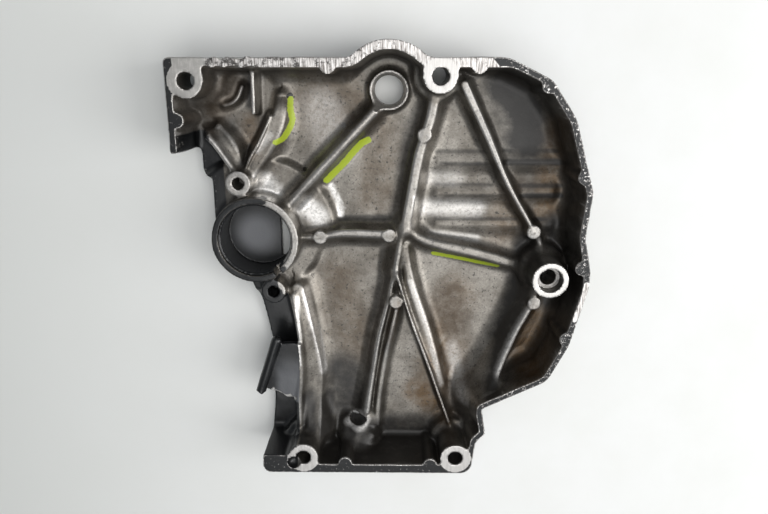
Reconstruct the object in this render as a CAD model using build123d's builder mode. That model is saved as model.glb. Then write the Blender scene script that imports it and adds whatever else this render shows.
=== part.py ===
"""Front sprocket cover of a motorcycle engine: one thin-walled aluminium casting, lying on its
outer face with the machined rim up. X runs along the top edge, Y points to the shift shaft, Z is up."""

import os
from math import copysign, cos, radians, sin, tan

from build123d import *

# Overall size
width = 169.4
length = 187.2
height = 28.0
skin = 4.5
outer_draft = 2.0
inner_draft = 4.0
edge_round = 2.5
floor_round = 2.5
small_r = 0.3
sunk = 1.0

# Rim, as the width of its machined face on each side
top_rim = 3.8
side_rim = 2.6
bottom_rim = 4.4
wing_rim = 3.0
top_edge_drop = 6.6
wing_length = 37.5
corner_shelf = 9.0
mouth_reach = 20.0

# Bolt bosses, with their distance from the nearest edges
bolt_hole = 6.6
boss_d = 13.2
seat_d = 15.0
seat_depth = 9.2
seat_wall = 2.4
boss_draft = 4.0
wing_bolt_x_in = 8.3
wing_bolt_y_in = 8.8
top_bolt_x = 21.3
top_bolt_y_in = 7.1
dowel_bolt_x_in = 16.1
dowel_bolt_y = -1.8
dowel_boss_d = 15.2
dowel_d = 10.2
dowel_depth = 5.3
low_bolt_y_in = 7.8
low_left_bolt_x_in = 48.1
low_right_bolt_x_in = 53.1

# Shift shaft hole and the bump of the rim round it
shaft_x = 1.5
bump_r = 19.6
bump_slope = 40.0
shaft_hole = 12.0
shaft_boss_d = 16.0
shaft_boss_h = 5.5
shaft_lead = 1.4

# Clutch release housing
ring_x_in = 29.8
ring_y = 12.9
ring_d = 36.7
ring_top_z = 20.0
ring_flange_r = 20.0
bore_d = 29.4
bore_lead_d = 31.2
bore_lead_depth = 1.5
hood_t = 3.0
hood_window_x = 8.7
hood_lip = 0.5
keyway_angle = -57.0
keyway_w = 3.0
keyway_reach = 19.3
keyway_depth = 9.0
screw_circle_r = 24.5
screw_angles = (105.0, -75.0)
screw_boss_d = 10.6
screw_hole = 5.0
screw_depth = 12.0
screw_boss_z = 17.0
step_h = 3.0
step_upper_r = 36.0
step_lower_r = 29.0
step_slope = 35.0

# Ribs: height above the inner floor, width of the crest, and the points that they run through
rib_h = 8.5
rib_w = 3.0
rib_draft = 9.0
crest_share = 0.25
pin_d = 6.0
fork_drop = 1.0
dowel_rib_drop = 3.5
right_wall_rise = 1.0
lower_wall_rise = 4.0
thin_rib_w = 2.2
chamber_step_h = 4.5

# Cooling grooves of the outer face, which stand up as ridges inside
groove_ys = (44.2, 31.0, 17.0)
groove_w = 4.2
groove_depth = 1.2
groove_x_start = 21.0
groove_x_in = 10.7

# Left edge: ear, low wall and the broken guard
ear_drop = 6.8
ear_reach = 4.6
low_wall_x_in = 44.7
low_wall_h = 10.5
low_wall_w = 3.4
shoulder_h = 5.5
shoulder_w = 7.0
shoulder_draft = 35.0
side_wall_h = 9.5
side_wall_w = 3.2
side_plateau_h = 8.5
side_plateau_w = 6.0
pocket_wall_h = 7.5
pocket_wall_w = 5.6
pocket_wall_draft = 15.0
blade_h = 11.5
blade_w = 2.0
blade_x_in = 31.7
lip_h = 3.5
lip_w = 1.8
guard_h = 12.0
guard_t = 3.0
guard_rod_d = 4.2
guard_x_in = 46.7
guard_y = -31.0
guard_edge = [
    (-3.1, -4.0), (-10.4, -5.9), (-17.6, -25.0), (-13.6, -24.4), (-11.5, -25.9),
    (-8.4, -27.4), (-5.7, -29.3), (-0.7, -30.3), (0.6, -16.0), (0.4, -5.0),
]

# Drain boss at the bottom rim
drain_x = -12.7
drain_y_in = 18.7
drain_w = 7.0
drain_h = 3.6
drain_boss_r = 11.0
drain_boss_draft = 12.0

# Chip broken out of the lower left boss
chip_r = 2.6
chip_depth = 3.2
chip_x_out = 4.4
chip_y_out = 2.6

# Worked out from the sizes above
right = width / 2
top = length / 2
left, bottom = -right, -top
top_edge = top - top_edge_drop
wing_end = top_edge - wing_length
shaft = (shaft_x, top - bump_r)
ring_x = left + ring_x_in
ring = (ring_x, ring_y)
low_wall_x = left + low_wall_x_in
ear_y = wing_end - ear_drop
blade_x = left + blade_x_in
guard_x = left + guard_x_in
groove_x_end = right - groove_x_in
wing_bolt = (left + wing_bolt_x_in, top_edge - wing_bolt_y_in)
top_bolt = (top_bolt_x, top_edge - top_bolt_y_in)
dowel_bolt = (right - dowel_bolt_x_in, dowel_bolt_y)
low_left_bolt = (left + low_left_bolt_x_in, bottom + low_bolt_y_in)
low_right_bolt = (right - low_right_bolt_x_in, bottom + low_bolt_y_in)
bolts = (wing_bolt, top_bolt, dowel_bolt, low_left_bolt, low_right_bolt)
screws = [
    (ring_x + screw_circle_r * cos(radians(a)), ring_y + screw_circle_r * sin(radians(a)))
    for a in screw_angles
]
ring_left = ring_x - ring_flange_r
ear_left = ring_left - ear_reach
crest_z = skin + rib_h

# Points where the ribs meet or turn, most of them marked by an ejector pin
upper_pin = (16.2, 56.2)
hub_pin = (1.7, 13.4)
release_pin = (ring_x + 26.8, 12.5)
fork_pin = (4.8, -16.4)
right_pin = (right - 21.2, 15.4)
lower_pin = (right - 19.0, -16.9)
hub = (8.9, 16.6)
fork = (4.8, -4.0)

# Bump of the top rim: an arc round the shift shaft hole between two tangent lines
bump_apex = bump_r / cos(radians(bump_slope))
bump_reach = (bump_apex - (top_edge - shaft[1])) / tan(radians(bump_slope))

# Outline of the machined rim, clockwise from the wing, as corners (x, y, fillet radius)
rim_corners = [
    (left, top_edge, 2.5),
    (shaft_x - bump_reach, top_edge, 6),
    (shaft_x, shaft[1] + bump_apex, bump_r),
    (shaft_x + bump_reach, top_edge, 6),
    (right - 38.2, top_edge, 14),
    (right - 20.5, top_edge - 8.4, 10),
    (right - 10.3, top_edge - 23.4, 12),
    (right - 1.4, 34.5, 8),
    (right - 3.1, 16.5, 8),
    (right, 2.5, 20),
    (right, -5.5, 20),
    (right - 6.5, -31.5, 20),
    (right - 14.4, -47.6, 10),
    (right - 42.1, bottom + 32.4, 1.5),
    (right - 40.1, bottom + 20.4, 1.2),
    (right - 44.1, bottom + 16.1, 4),
    (right - 46.1, bottom, 5.5),
    (left + 29.3, bottom, 4),
]

# Left edge of the floor, where the cover has no rim: round the release housing to the ear and wing
open_corners = [
    (left + 31.5, bottom + 25.6, 20),
    (left + 32.1, bottom + 53.6, 20),
    (ring_x - 1.6, ring_y - 32.4, 10),
    (ring_x - 6.1, ring_y - 20.2, 3),
    (ring_left, ring_y - 10.4, ring_flange_r),
    (ring_left, ear_y - 5.7, 1.0),
    (ear_left, ear_y - 5.3, 4.5),
    (ear_left, wing_end, 1.0),
    (left, wing_end, 2.0),
]

# Mouth of the inside at the rim: the open left side reaches past the floor's edge
mouth_corners = [
    (left - mouth_reach, bottom + corner_shelf, 0),
    (left - mouth_reach, wing_end + sunk, 0),
    (left + wing_rim, wing_end + sunk, 1.0),
]


def inset(corners, gaps):
    """Corners of a closed clockwise outline whose side i, from corner i on, moves in by gaps[i]."""
    moved = []
    for i, (x, y, r) in enumerate(corners):
        next_x, next_y, _ = corners[(i + 1) % len(corners)]
        before = (Vector(x, y) - Vector(*corners[i - 1][:2])).normalized()
        after = (Vector(next_x, next_y) - Vector(x, y)).normalized()
        turn = before.X * after.Y - before.Y * after.X
        point = Vector(x, y) + before * (gaps[i] / turn) - after * (gaps[i - 1] / turn)
        grown = r + copysign((gaps[i] + gaps[i - 1]) / 2, turn)
        moved.append((point.X, point.Y, max(grown, small_r) if r else 0))
    return moved


def section(corners, z):
    """Face at height z, bounded by an outline of corners (x, y, fillet radius)."""
    with BuildSketch(Plane.XY.offset(z)) as face:
        with BuildLine():
            FilletPolyline(
                *[(x, y) for x, y, _ in corners], radius=[r for _, _, r in corners], close=True
            )
        make_face()
    return face.sketch


def drafted(corners, low_z, angle, round_r):
    """Solid that narrows by the draft from the rim plane down, and ends low_z high in a round."""
    wall_gap = (height - low_z - round_r) * tan(radians(angle))
    levels = [(height, 0.0)]
    for degrees_down in (0, 45, 90):
        level_z = low_z + round_r * (1 - sin(radians(degrees_down)))
        levels.append((level_z, wall_gap + round_r * (1 - cos(radians(degrees_down)))))
    with BuildPart() as solid:
        loft([section(inset(corners, [gap] * len(corners)), z) for z, gap in levels], ruled=True)
    return solid.part


def rib(path, rise, crest_w=rib_w, angle=rib_draft, bend_r=40.0):
    """Cast rib along a path of points, rise above the floor: its flanks are drafted from the crest
    down into the floor, and the edges of its crest are broken."""
    crest = Plane.XY.offset(skin + rise)
    with BuildPart() as ridge:
        with BuildSketch(Plane.XY.offset(skin - sunk)):
            with BuildLine():
                if len(path) == 2:
                    Line(*path)
                else:
                    FilletPolyline(*path, radius=bend_r)
            trace(line_width=crest_w)
        extrude(amount=rise + sunk)
        draft(ridge.faces().filter_by(lambda side: abs(side.normal_at().Z) < 0.5), crest, angle)
        chamfer(ridge.edges().group_by(Axis.Z)[-1], crest_w * crest_share)
    return ridge.part


# Ribs that carry the load between the bosses
ribs = [
    rib([(ring_x + 12.7, ring_y + 13.1), (shaft[0] - 6.1, shaft[1] - 8.4)], rib_h),
    rib([(ring_x + 17.0, ring_y - 0.5), (-17.2, 14.3), hub_pin], rib_h, bend_r=60),
    rib([(top_bolt[0] - 1.0, top_bolt[1] - 6.0), upper_pin], rib_h),
    rib([upper_pin, hub, fork], rib_h),
    rib([fork, fork_pin, (-8.5, bottom + 21.9)], rib_h - fork_drop, bend_r=60),
    rib([fork, (8.8, -16.9), (low_right_bolt[0] - 3.0, low_right_bolt[1] + 9.2)], rib_h - fork_drop),
    rib([hub, (dowel_bolt[0] - 6.0, dowel_bolt[1])], rib_h - dowel_rib_drop),
    rib([(top_bolt[0] + 8.9, top_bolt[1] - 6.1), (right - 37.0, 43.0), right_pin],
        rib_h + right_wall_rise, thin_rib_w),
    rib([right_pin, (dowel_bolt[0], dowel_bolt[1] + 6.0)], rib_h + right_wall_rise, thin_rib_w),
    rib([(right - 46.1, top_edge - 15.0), (right - 32.1, 45.0)], chamber_step_h),
    rib([lower_pin, (right - 27.1, -31.8), (right - 41.3, bottom + 23.0)], rib_h + lower_wall_rise),
    rib([(dowel_bolt[0] - 2.0, dowel_bolt[1] - 6.0), lower_pin], rib_h + lower_wall_rise),
]

# Walls of the left side: blade and lip of the wing, pocket walls, low wall with its shoulder
ribs += [
    rib([(blade_x, top_edge - 3), (blade_x, top_edge - 21.6)], blade_h, blade_w, inner_draft),
    rib([(left + 18.2, wing_end + 19.1), (left + 22.7, wing_end + 20.7), (left + 26.1, wing_end + 25.5)],
        lip_h, lip_w, bend_r=6),
    rib([(left + 12.5, wing_end + 5.1), screws[0]], side_wall_h, side_wall_w),
    rib([(left + 18.4, wing_end + 8.0), screws[0]], side_plateau_h, side_plateau_w),
    rib([(ring_x - 0.6, ring_y + 28.1), (ring_x + 5.9, wing_end + 3.5), (ring_x + 10.9, wing_end + 16.5)],
        pocket_wall_h, pocket_wall_w, pocket_wall_draft),
    rib([(low_wall_x + 1.2, -12.0), (low_wall_x + 2.6, -38.0), (low_wall_x + 2.6, bottom + 8)],
        low_wall_h, low_wall_w, inner_draft),
    rib([(low_wall_x + 1.8, -12.0), (low_wall_x + 5.4, -38.0), (low_wall_x + 6.5, bottom + 8)],
        shoulder_h, shoulder_w, shoulder_draft),
]

# Round pads left by the ejector pins, on the ribs and up the inside of the rim
crest_pins = [upper_pin, hub_pin, release_pin, fork_pin, right_pin, lower_pin]
rim_pads = [
    (-21.9, top_edge - 3.3),
    (36.0, top_edge - 3.3),
    (right - 21.8, top_edge - 10.6),
    (right - 5.2, 41.2),
    (right - 3.4, 3.5),
    (right - 7.6, -28.0),
    (left + 3.5, wing_end + 13.7),
    (-17.9, bottom + 5.0),
    (20.4, bottom + 4.4),
]

# Outer skin and inside space
outline = rim_corners + open_corners
shell = drafted(outline, 0, outer_draft, edge_round)
rim_gaps = [top_rim] * 4 + [side_rim] * 12 + [bottom_rim]
rim_inside = inset(rim_corners + [(left, 0, 0)], rim_gaps + [0, 0])[1:-2]
mouth = (
    [(left + wing_rim, top_edge - top_rim, 1.5)]
    + rim_inside
    + [(low_wall_x, bottom + bottom_rim, 0), (low_wall_x, bottom + corner_shelf, 0)]
    + mouth_corners
)
hollow = drafted(mouth, skin, inner_draft, floor_round)

# Floor raised by a step round the clutch release housing, wider above its rib than below
with BuildPart() as step:
    with BuildSketch(Plane.XY.offset(skin + step_h)):
        with Locations(ring):
            Circle(step_upper_r)
            Rectangle(2 * width, width, align=(Align.CENTER, Align.MAX), mode=Mode.SUBTRACT)
            Circle(step_lower_r)
    extrude(amount=-step_h - sunk, taper=-step_slope)

# Everything that stands on the floor, held inside the outer skin
with BuildPart() as inside:
    add(step.part)
    add(ribs)
    with BuildSketch(Plane.XY):
        with Locations(*bolts):
            Circle(seat_d / 2 + seat_wall)
    extrude(amount=seat_depth + seat_wall, taper=boss_draft)
    with BuildSketch(Plane.XY):
        with Locations(*bolts):
            Circle(boss_d / 2)
        with Locations(dowel_bolt):
            Circle(dowel_boss_d / 2)
        with Locations((left, top_edge)):
            Rectangle(
                wing_bolt_x_in + boss_d / 2, wing_bolt_y_in, align=(Align.MIN, Align.MAX)
            )
        with Locations(top_bolt):
            Rectangle(boss_d, top_bolt_y_in, align=(Align.CENTER, Align.MIN))
        with Locations(*rim_pads):
            Circle(pin_d / 2)
    extrude(amount=height)
    with BuildSketch(Plane.XY):
        with Locations(ring):
            Circle(ring_d / 2)
    extrude(amount=ring_top_z)
    with BuildSketch(Plane.XY):
        with Locations(*screws):
            Circle(screw_boss_d / 2)
    extrude(amount=screw_boss_z)
    with BuildSketch(Plane.XY):
        with Locations(shaft):
            Circle(shaft_boss_d / 2)
    extrude(amount=skin + shaft_boss_h)
    with BuildSketch(Plane.XY):
        with Locations(*crest_pins):
            Circle(pin_d / 2)
    extrude(amount=crest_z)
    with BuildSketch(Plane.XY):
        with Locations((drain_x, bottom)):
            Circle(drain_boss_r)
    extrude(amount=height, taper=drain_boss_draft)
    with BuildSketch(Plane.XY.offset(skin + groove_depth)):
        with Locations(*[((groove_x_start + groove_x_end) / 2, y) for y in groove_ys]):
            SlotOverall(groove_x_end - groove_x_start, groove_w)
    extrude(amount=-groove_depth - sunk, taper=-rib_draft)
    add(shell, mode=Mode.INTERSECT)

# What is left of the guard that stood out over the open left side: a plate with a round rod along
# its edge and a broken lower end
guard_points = [Vector(guard_x + dx, guard_y + dy, skin + guard_h) for dx, dy in guard_edge]
rod_start, rod_end = guard_points[1:3]
with BuildPart() as guard:
    with BuildSketch(Plane.XY.offset(skin + guard_h)):
        with BuildLine():
            Polyline(*[(point.X, point.Y) for point in guard_points], close=True)
        make_face()
    extrude(amount=-guard_t)
    with BuildSketch(Plane(rod_start, z_dir=rod_end - rod_start)):
        Circle(guard_rod_d / 2)
    extrude(amount=(rod_end - rod_start).length)

with BuildPart() as sprocket_cover:
    add(shell)
    add(hollow, mode=Mode.SUBTRACT)
    add(inside.part)
    add(guard.part)

    # Bolt holes with their outer seats, the dowel recess and the shift shaft hole
    with BuildSketch(Plane.XY):
        with Locations(*bolts):
            Circle(seat_d / 2)
    extrude(amount=seat_depth, mode=Mode.SUBTRACT)
    with Locations(*[(x, y, height) for x, y in bolts]):
        Hole(bolt_hole / 2)
    with Locations((*dowel_bolt, height)):
        Hole(dowel_d / 2, depth=dowel_depth)
    with Locations((*shaft, skin + shaft_boss_h)):
        CounterSinkHole(shaft_hole / 2, shaft_hole / 2 + shaft_lead)

    # Clutch release bore behind its hood, with the window, the keyway and two tapped holes
    with Locations((*ring, ring_top_z)):
        CounterBoreHole(bore_d / 2, bore_lead_d / 2, bore_lead_depth, depth=ring_top_z - hood_t)
    with BuildSketch(Plane.XY):
        with Locations(ring):
            Circle(bore_d / 2 - hood_lip)
            Rectangle(bore_d, bore_d, align=(Align.MAX, Align.CENTER), mode=Mode.SUBTRACT)
            Rectangle(hood_window_x, bore_d, align=(Align.MIN, Align.CENTER), mode=Mode.SUBTRACT)
    extrude(amount=hood_t, mode=Mode.SUBTRACT)
    with BuildSketch(Plane.XY.offset(ring_top_z)):
        with Locations(Location(ring, keyway_angle)):
            with Locations((keyway_reach / 2, 0)):
                SlotCenterToCenter(keyway_reach, keyway_w)
    extrude(amount=-keyway_depth, mode=Mode.SUBTRACT)
    with Locations(*[(x, y, screw_boss_z) for x, y in screws]):
        Hole(screw_hole / 2, depth=screw_depth)

    # Grooves of the outer face, the drain slot and the chip out of the lower left boss
    with BuildSketch(Plane.XY):
        with Locations(*[((groove_x_start + groove_x_end) / 2, y) for y in groove_ys]):
            SlotOverall(groove_x_end - groove_x_start, groove_w - groove_depth)
    extrude(amount=groove_depth, mode=Mode.SUBTRACT)
    with BuildSketch(Plane.XY):
        with Locations((drain_x, bottom + drain_y_in)):
            SlotOverall(drain_w, drain_h)
    extrude(amount=skin + step_h, mode=Mode.SUBTRACT)
    with Locations((low_left_bolt[0] - chip_x_out, low_left_bolt[1] - chip_y_out, height)):
        Hole(chip_r, depth=chip_depth)

sprocket_cover.part.label = "sprocket_cover"

if __name__ == "__main__":
    os.makedirs("parts", exist_ok=True)
    export_step(sprocket_cover.part, "parts/sprocket_cover.step")
    print(sprocket_cover.part.bounding_box(), sprocket_cover.part.volume)
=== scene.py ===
"""Front sprocket cover of a motorcycle engine, inside face up: the casting with its fillets, the
milled rim, the black paint of its outside and the marker lines, on a plain pale floor."""

from math import atan2, ceil, cos, pi, radians, sin, tan

import bpy
import numpy as np
from bpy.props import FloatProperty, IntProperty, StringProperty
from mathutils import Matrix, Vector


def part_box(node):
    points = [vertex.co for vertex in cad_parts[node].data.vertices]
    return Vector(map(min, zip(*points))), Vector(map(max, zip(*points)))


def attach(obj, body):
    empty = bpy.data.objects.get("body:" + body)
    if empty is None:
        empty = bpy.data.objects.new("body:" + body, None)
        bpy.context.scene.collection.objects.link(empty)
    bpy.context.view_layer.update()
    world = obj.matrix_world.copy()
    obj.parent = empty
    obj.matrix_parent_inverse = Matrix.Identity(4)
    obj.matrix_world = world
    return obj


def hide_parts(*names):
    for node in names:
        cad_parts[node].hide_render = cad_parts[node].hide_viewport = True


bl_info = {
    "name": "Sprocket cover",
    "version": (1, 0, 0),
    "blender": (4, 5, 0),
    "location": "3D View > Sidebar > Sprocket cover",
    "description": "Builds a die-cast sprocket cover with its fillets, milled rim and worn black paint",
    "category": "Add Mesh",
}

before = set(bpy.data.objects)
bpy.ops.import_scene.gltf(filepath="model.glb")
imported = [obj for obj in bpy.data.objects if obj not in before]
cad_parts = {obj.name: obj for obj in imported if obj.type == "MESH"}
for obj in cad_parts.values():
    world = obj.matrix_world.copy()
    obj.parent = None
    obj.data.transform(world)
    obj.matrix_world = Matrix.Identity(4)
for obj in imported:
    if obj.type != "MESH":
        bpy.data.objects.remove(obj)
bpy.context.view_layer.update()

MM = 0.001
COVER = "sprocket_cover"

# The casting's box, in millimetres, from the frame
low_corner, high_corner = (np.array(corner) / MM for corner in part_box(COVER))
LEFT, BOTTOM, BASE = low_corner
RIGHT, TOP, RIM = high_corner

# Walls and rim, in millimetres
SKIN = 4.5
OUTER_DRAFT = 2.0
INNER_DRAFT = 4.0
EDGE_ROUND = 3.0
TOP_RIM = 3.8
SIDE_RIM = 2.6
BOTTOM_RIM = 4.4
WING_RIM = 3.0
TOP_EDGE = TOP - 6.6
WING_END = TOP_EDGE - 37.5
CORNER_SHELF = 9.0

# Step of the floor round the release housing: height, radius, what it gains above the housing's
# rib, and the width of its slope
STEP_H = 3.0
STEP_R = 29.0
STEP_GAIN = 7.0
STEP_SLOPE_W = 4.0

# Cove between floor and walls: radius, and what it gains on the right and at the top left
COVE_R = 2.4
COVE_RIGHT = 3.0
COVE_TOP_LEFT = 5.5

# Bolt bosses and holes
BOLT_HOLE_R = 3.3
BOSS_R = 6.6
BOSS_DRAFT = 1.2
SEAT_R = 7.5
SEAT_DEPTH = 9.2
DOWEL_BOSS_R = 7.6
DOWEL_R = 5.1
DOWEL_DEPTH = 5.3
WING_BOLT = (LEFT + 8.3, TOP_EDGE - 8.8)
TOP_BOLT = (21.3, TOP_EDGE - 7.1)
DOWEL_BOLT = (RIGHT - 16.1, -1.8)
LOW_LEFT_BOLT = (-36.6, BOTTOM + 7.8)
LOW_RIGHT_BOLT = (31.6, BOTTOM + 7.8)
BOLTS = (WING_BOLT, TOP_BOLT, DOWEL_BOLT, LOW_LEFT_BOLT, LOW_RIGHT_BOLT)

# Shift shaft hole under the bump of the rim
BUMP_R = 19.6
BUMP_SLOPE = radians(40)
SHAFT = (1.5, TOP - BUMP_R)
SHAFT_R = 6.0
SHAFT_BOSS_R = 8.0
SHAFT_BOSS_Z = 10.0
SHAFT_LEAD = 1.4
BUMP_APEX = BUMP_R / cos(BUMP_SLOPE)
BUMP_REACH = (BUMP_APEX - (TOP_EDGE - SHAFT[1])) / tan(BUMP_SLOPE)

# Clutch release housing
RING = (-54.9, 12.9)
RING_R = 18.35
RING_TOP = 20.0
FLANGE_R = 20.0
BORE_R = 14.7
LEAD_R = 15.6
LEAD_DEPTH = 1.5
HOOD = 3.0
WINDOW_X = 8.7
KEYWAY_ANGLE = radians(-57)
KEYWAY_W = 3.0
KEYWAY_REACH = 19.3
KEYWAY_DEPTH = 9.0
SCREW_CIRCLE = 24.5
SCREW_ANGLES = (radians(105), radians(-75))
SCREW_BOSS_R = 5.3
SCREW_HOLE_R = 2.5
SCREW_DEPTH = 12.0
SCREW_TOP = 17.0
SCREWS = [(RING[0] + SCREW_CIRCLE * cos(a), RING[1] + SCREW_CIRCLE * sin(a)) for a in SCREW_ANGLES]

# Ribs: the usual crest height and width, and the fillet at their foot; radius of an ejector pin
CREST = 13.0
RIB_W = 3.0
RIB_FILLET = 2.2
PIN_R = 3.0

# Outline of the rim, clockwise from the wing, as corners (x, y, radius)
RIM_CORNERS = [
    (LEFT, TOP_EDGE, 2.5),
    (SHAFT[0] - BUMP_REACH, TOP_EDGE, 6),
    (SHAFT[0], SHAFT[1] + BUMP_APEX, BUMP_R),
    (SHAFT[0] + BUMP_REACH, TOP_EDGE, 6),
    (46.5, TOP_EDGE, 14),
    (RIGHT - 20.5, TOP_EDGE - 8.4, 10),
    (RIGHT - 10.3, TOP_EDGE - 23.4, 12),
    (RIGHT - 1.4, 34.5, 8),
    (RIGHT - 3.1, 16.5, 8),
    (RIGHT, 2.5, 20),
    (RIGHT, -5.5, 20),
    (RIGHT - 6.5, -31.5, 20),
    (RIGHT - 14.4, -47.6, 10),
    (42.6, -61.2, 1.5),
    (44.6, BOTTOM + 20.4, 1.2),
    (40.6, BOTTOM + 16.1, 4),
    (38.6, BOTTOM, 5.5),
    (-55.4, BOTTOM, 4),
]
FLANGE_LEFT = RING[0] - FLANGE_R
EAR_Y = 42.7
EAR_LEFT = FLANGE_LEFT - 4.6
OPEN_CORNERS = [
    (-53.2, -68.0, 20),
    (-52.6, -40.0, 20),
    (-56.5, -19.5, 10),
    (-61.0, -7.3, 3),
    (FLANGE_LEFT, RING[1] - 10.4, FLANGE_R),
    (FLANGE_LEFT, EAR_Y - 5.7, 1.0),
    (EAR_LEFT, EAR_Y - 5.3, 4.5),
    (EAR_LEFT, WING_END, 1.0),
    (LEFT, WING_END, 2.0),
]
LOW_WALL_X = -40.0

# Ribs between the bosses, in the order they are added: path, height of the crest, width, left and
# right draft in degrees, radius of the crest's edges, fillet at the foot. The flank turned to the
# window, on the right, is the flatter one on most of them, and where two crests run side by side
# each is a ridge of its own
RIBS = [
    ([(RING[0] + 12.7, RING[1] + 13.1), (SHAFT[0] - 6.1, SHAFT[1] - 8.4)], CREST, 3.0, (16, 20), 1.5, 3.5),
    ([(-38.0, 12.4), (-28.1, 12.8), (-17.2, 14.3), (1.7, 13.8)], CREST, (1.8, 2.2, 3.2, 3.4), (14, 24), 1.3,
     3.0),
    ([(20.2, 73.0), (18.3, 62.4), (14.0, 48.2), (11.3, 33.5), (8.4, 16.6)], CREST, 3.7, (26, 12), 1.2, 3.0),
    ([(8.4, 16.6), (6.8, 11.7), (4.7, -1.8)], CREST, 2.0, (12, 30), 0.9, 2.5),
    ([(4.7, -1.8), (5.6, -5.8), (11.6, -25.4), (20.5, -49.8), (31.5, -81.5)], (12.8, 12.6, 12.8, 13, 13),
     1.0, (4, 6), 0.5, 1.5),
    ([(8.7, 8.0), (9.3, 0.0), (11.4, -10.4), (17.9, -31.0), (23.9, -52.0), (28.8, -70.0)],
     (11.2, 10.8, 10.6, 10.4, 10.2, 9.6), (2.2, 3.0, 3.8, 4.2, 3.8, 2.4), (30, 8), 1.3, 2.6),
    ([(4.2, -3.0), (1.6, -16.5), (-2.6, -34.3), (-5.6, -53.2), (-8.5, -72.2)],
     (12.0, 11.0, 11.0, 11.2, 12.0), (1.2, 1.2, 1.4, 1.8, 2.2), (4, 30), 0.8, 2.5),
    ([(4.8, -14.0), (5.1, -19.5), (2.7, -31.8), (-0.1, -45.6), (-2.8, -63.4), (-4.2, -80.0)],
     (12.0, 12.0, 11.5, 9.5, 9.0, 9.0), (1.2, 1.4, 1.6, 2.4, 2.6, 2.6), (20, 6), 0.9, 2.0),
    ([(8.4, 15.2), (19.5, 9.6), (36.0, 5.6), (50.3, 1.6), (62.0, -1.8)], (12.5, 10.4, 9.8, 9.2, 9.0),
     (3.0, 3.6, 4.2, 4.2, 3.6), (20, 16), 1.5, 3.5),
    ([(31.9, 76.5), (41.4, 57.5), (51.5, 36.0), (61.6, 19.1), (63.1, 15.6)], 14.0,
     (3.2, 2.6, 1.8, 1.5, 1.5), (12, 14), 0.6, 2.5),
    ([(63.1, 15.6), (66.3, 11.5), (68.0, 4.0)], (13.5, 12, 12), 2.0, (12, 12), 0.8),
    ([(65.4, -12.0), (63.4, -19.4), (57.6, -31.3), (52.4, -44.0), (48.2, -55.0), (44.6, -64.0)],
     (15.0, 15.0, 15.5, 17.0, 20.5, 26.5), (2.2, 2.0, 2.0, 2.0, 2.2, 2.4), (10, 34), 0.7, 4.0),
]

# Walls and pockets of the wing, and the low wall with its shoulder, in the same columns
WALLS = [
    ([(-52.9, 83.0), (-53.5, 65.4)], (17.0, 15.5), 1.6, (2, 2), 0.5, 1.6),
    ([(-66.8, 67.9), (-63.4, 69.0), (-60.8, 71.4), (-59.2, 75.2)], (8.2, 8.8, 9.0, 8.4), 1.4, (14, 14),
     0.7),
    ([(-73.4, 55.4), (-71.1, 53.1), (-67.7, 48.2), (-62.4, 40.5)], (14.5, 14.5, 14.6, 15.2), 2.0, (18, 8),
     0.8, 2.0),
    ([(-69.6, 58.6), (-65.0, 51.5), (-61.8, 42.5)], (10.0, 11.6, 12.4), (3.0, 5.5, 4.0), (18, 8), 1.2, 2.5),
    ([(-56.8, 39.5), (-54.2, 44.0), (-51.3, 49.2), (-48.0, 54.5), (-45.2, 60.6), (-43.7, 66.0),
      (-43.4, 71.5)], (12.2, 12.2, 12.0, 11.8, 11.2, 10.0, 7.5), (4.0, 5.0, 6.2, 6.2, 5.8, 4.8, 3.5),
     (6, 26), 1.3, 3.0),
    ([(-58.7, 41.6), (-55.8, 47.5), (-52.6, 52.6), (-49.4, 58.9), (-47.6, 63.5)],
     (13.2, 13.2, 13.0, 12.6, 11.2), 0.9, (20, 6), 0.4, 0.8),
    ([(-40.6, -14.0), (-39.7, -20.9), (-38.2, -33.0), (-37.6, -44.7), (-38.6, -56.0), (-39.7, -64.0),
      (-40.0, -82.0)], (14.0, 15.0, 15.0, 15.0, 15.2, 15.6, 16.0), 1.6, (24, 4), 0.6, 1.5),
    ([(-39.4, -12.0), (-37.4, -21.0), (-35.6, -32.0), (-33.6, -43.0), (-32.3, -54.0), (-33.0, -68.0),
      (-33.2, -82.0)], (12.0, 11.8, 11.2, 10.4, 9.8, 11.0, 19.0), 6.0, (30, 4), 0.8, 3.5),
]

# Marks of the ejector pins: on the ribs, with the height of each, and up the inside of the rim
CREST_PINS = [((16.2, 56.2), CREST), ((1.7, 13.4), CREST), ((-28.1, 12.5), CREST), ((4.8, -17.2), 12.4),
              ((63.5, 15.4), 14.2), ((65.4, -16.4), 15.4)]
RIM_PADS = [
    (-21.9, TOP_EDGE - 3.3), (36.0, TOP_EDGE - 3.3), (RIGHT - 21.8, TOP_EDGE - 10.6),
    (RIGHT - 5.2, 41.2), (RIGHT - 3.4, 3.5), (RIGHT - 7.6, -28.0), (LEFT + 3.5, 63.2),
    (-17.9, BOTTOM + 5.0), (20.4, BOTTOM + 4.4),
]

# Grooves of the outer face: place and width of the ridge that each leaves inside, ends, radius
GROOVES = [(44.2, 2.4), (31.0, 2.6), (16.9, 2.6)]
GROOVE_ENDS = (22.6, 72.4)
GROOVE_R = 1.5

# Drain hole with half its length and width, and the lumps of run metal beside it as place, radius
# and height
DRAIN = (-12.7, BOTTOM + 17.0)
DRAIN_HALF = (3.9, 2.3)
DRAIN_LUMPS = [((-17.0, -79.5), 2.6, 10.5), ((-12.4, -81.5), 3.2, 12.5), ((-17.5, -85.0), 3.0, 13.0),
               ((-8.6, -86.0), 3.2, 14.0), ((-8.0, -76.0), 1.8, 9.0)]

# Chip in the lower left boss
CHIP = (LOW_LEFT_BOLT[0] - 4.4, LOW_LEFT_BOLT[1] - 2.6, RIM + 0.4)
CHIP_R = 2.9

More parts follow.
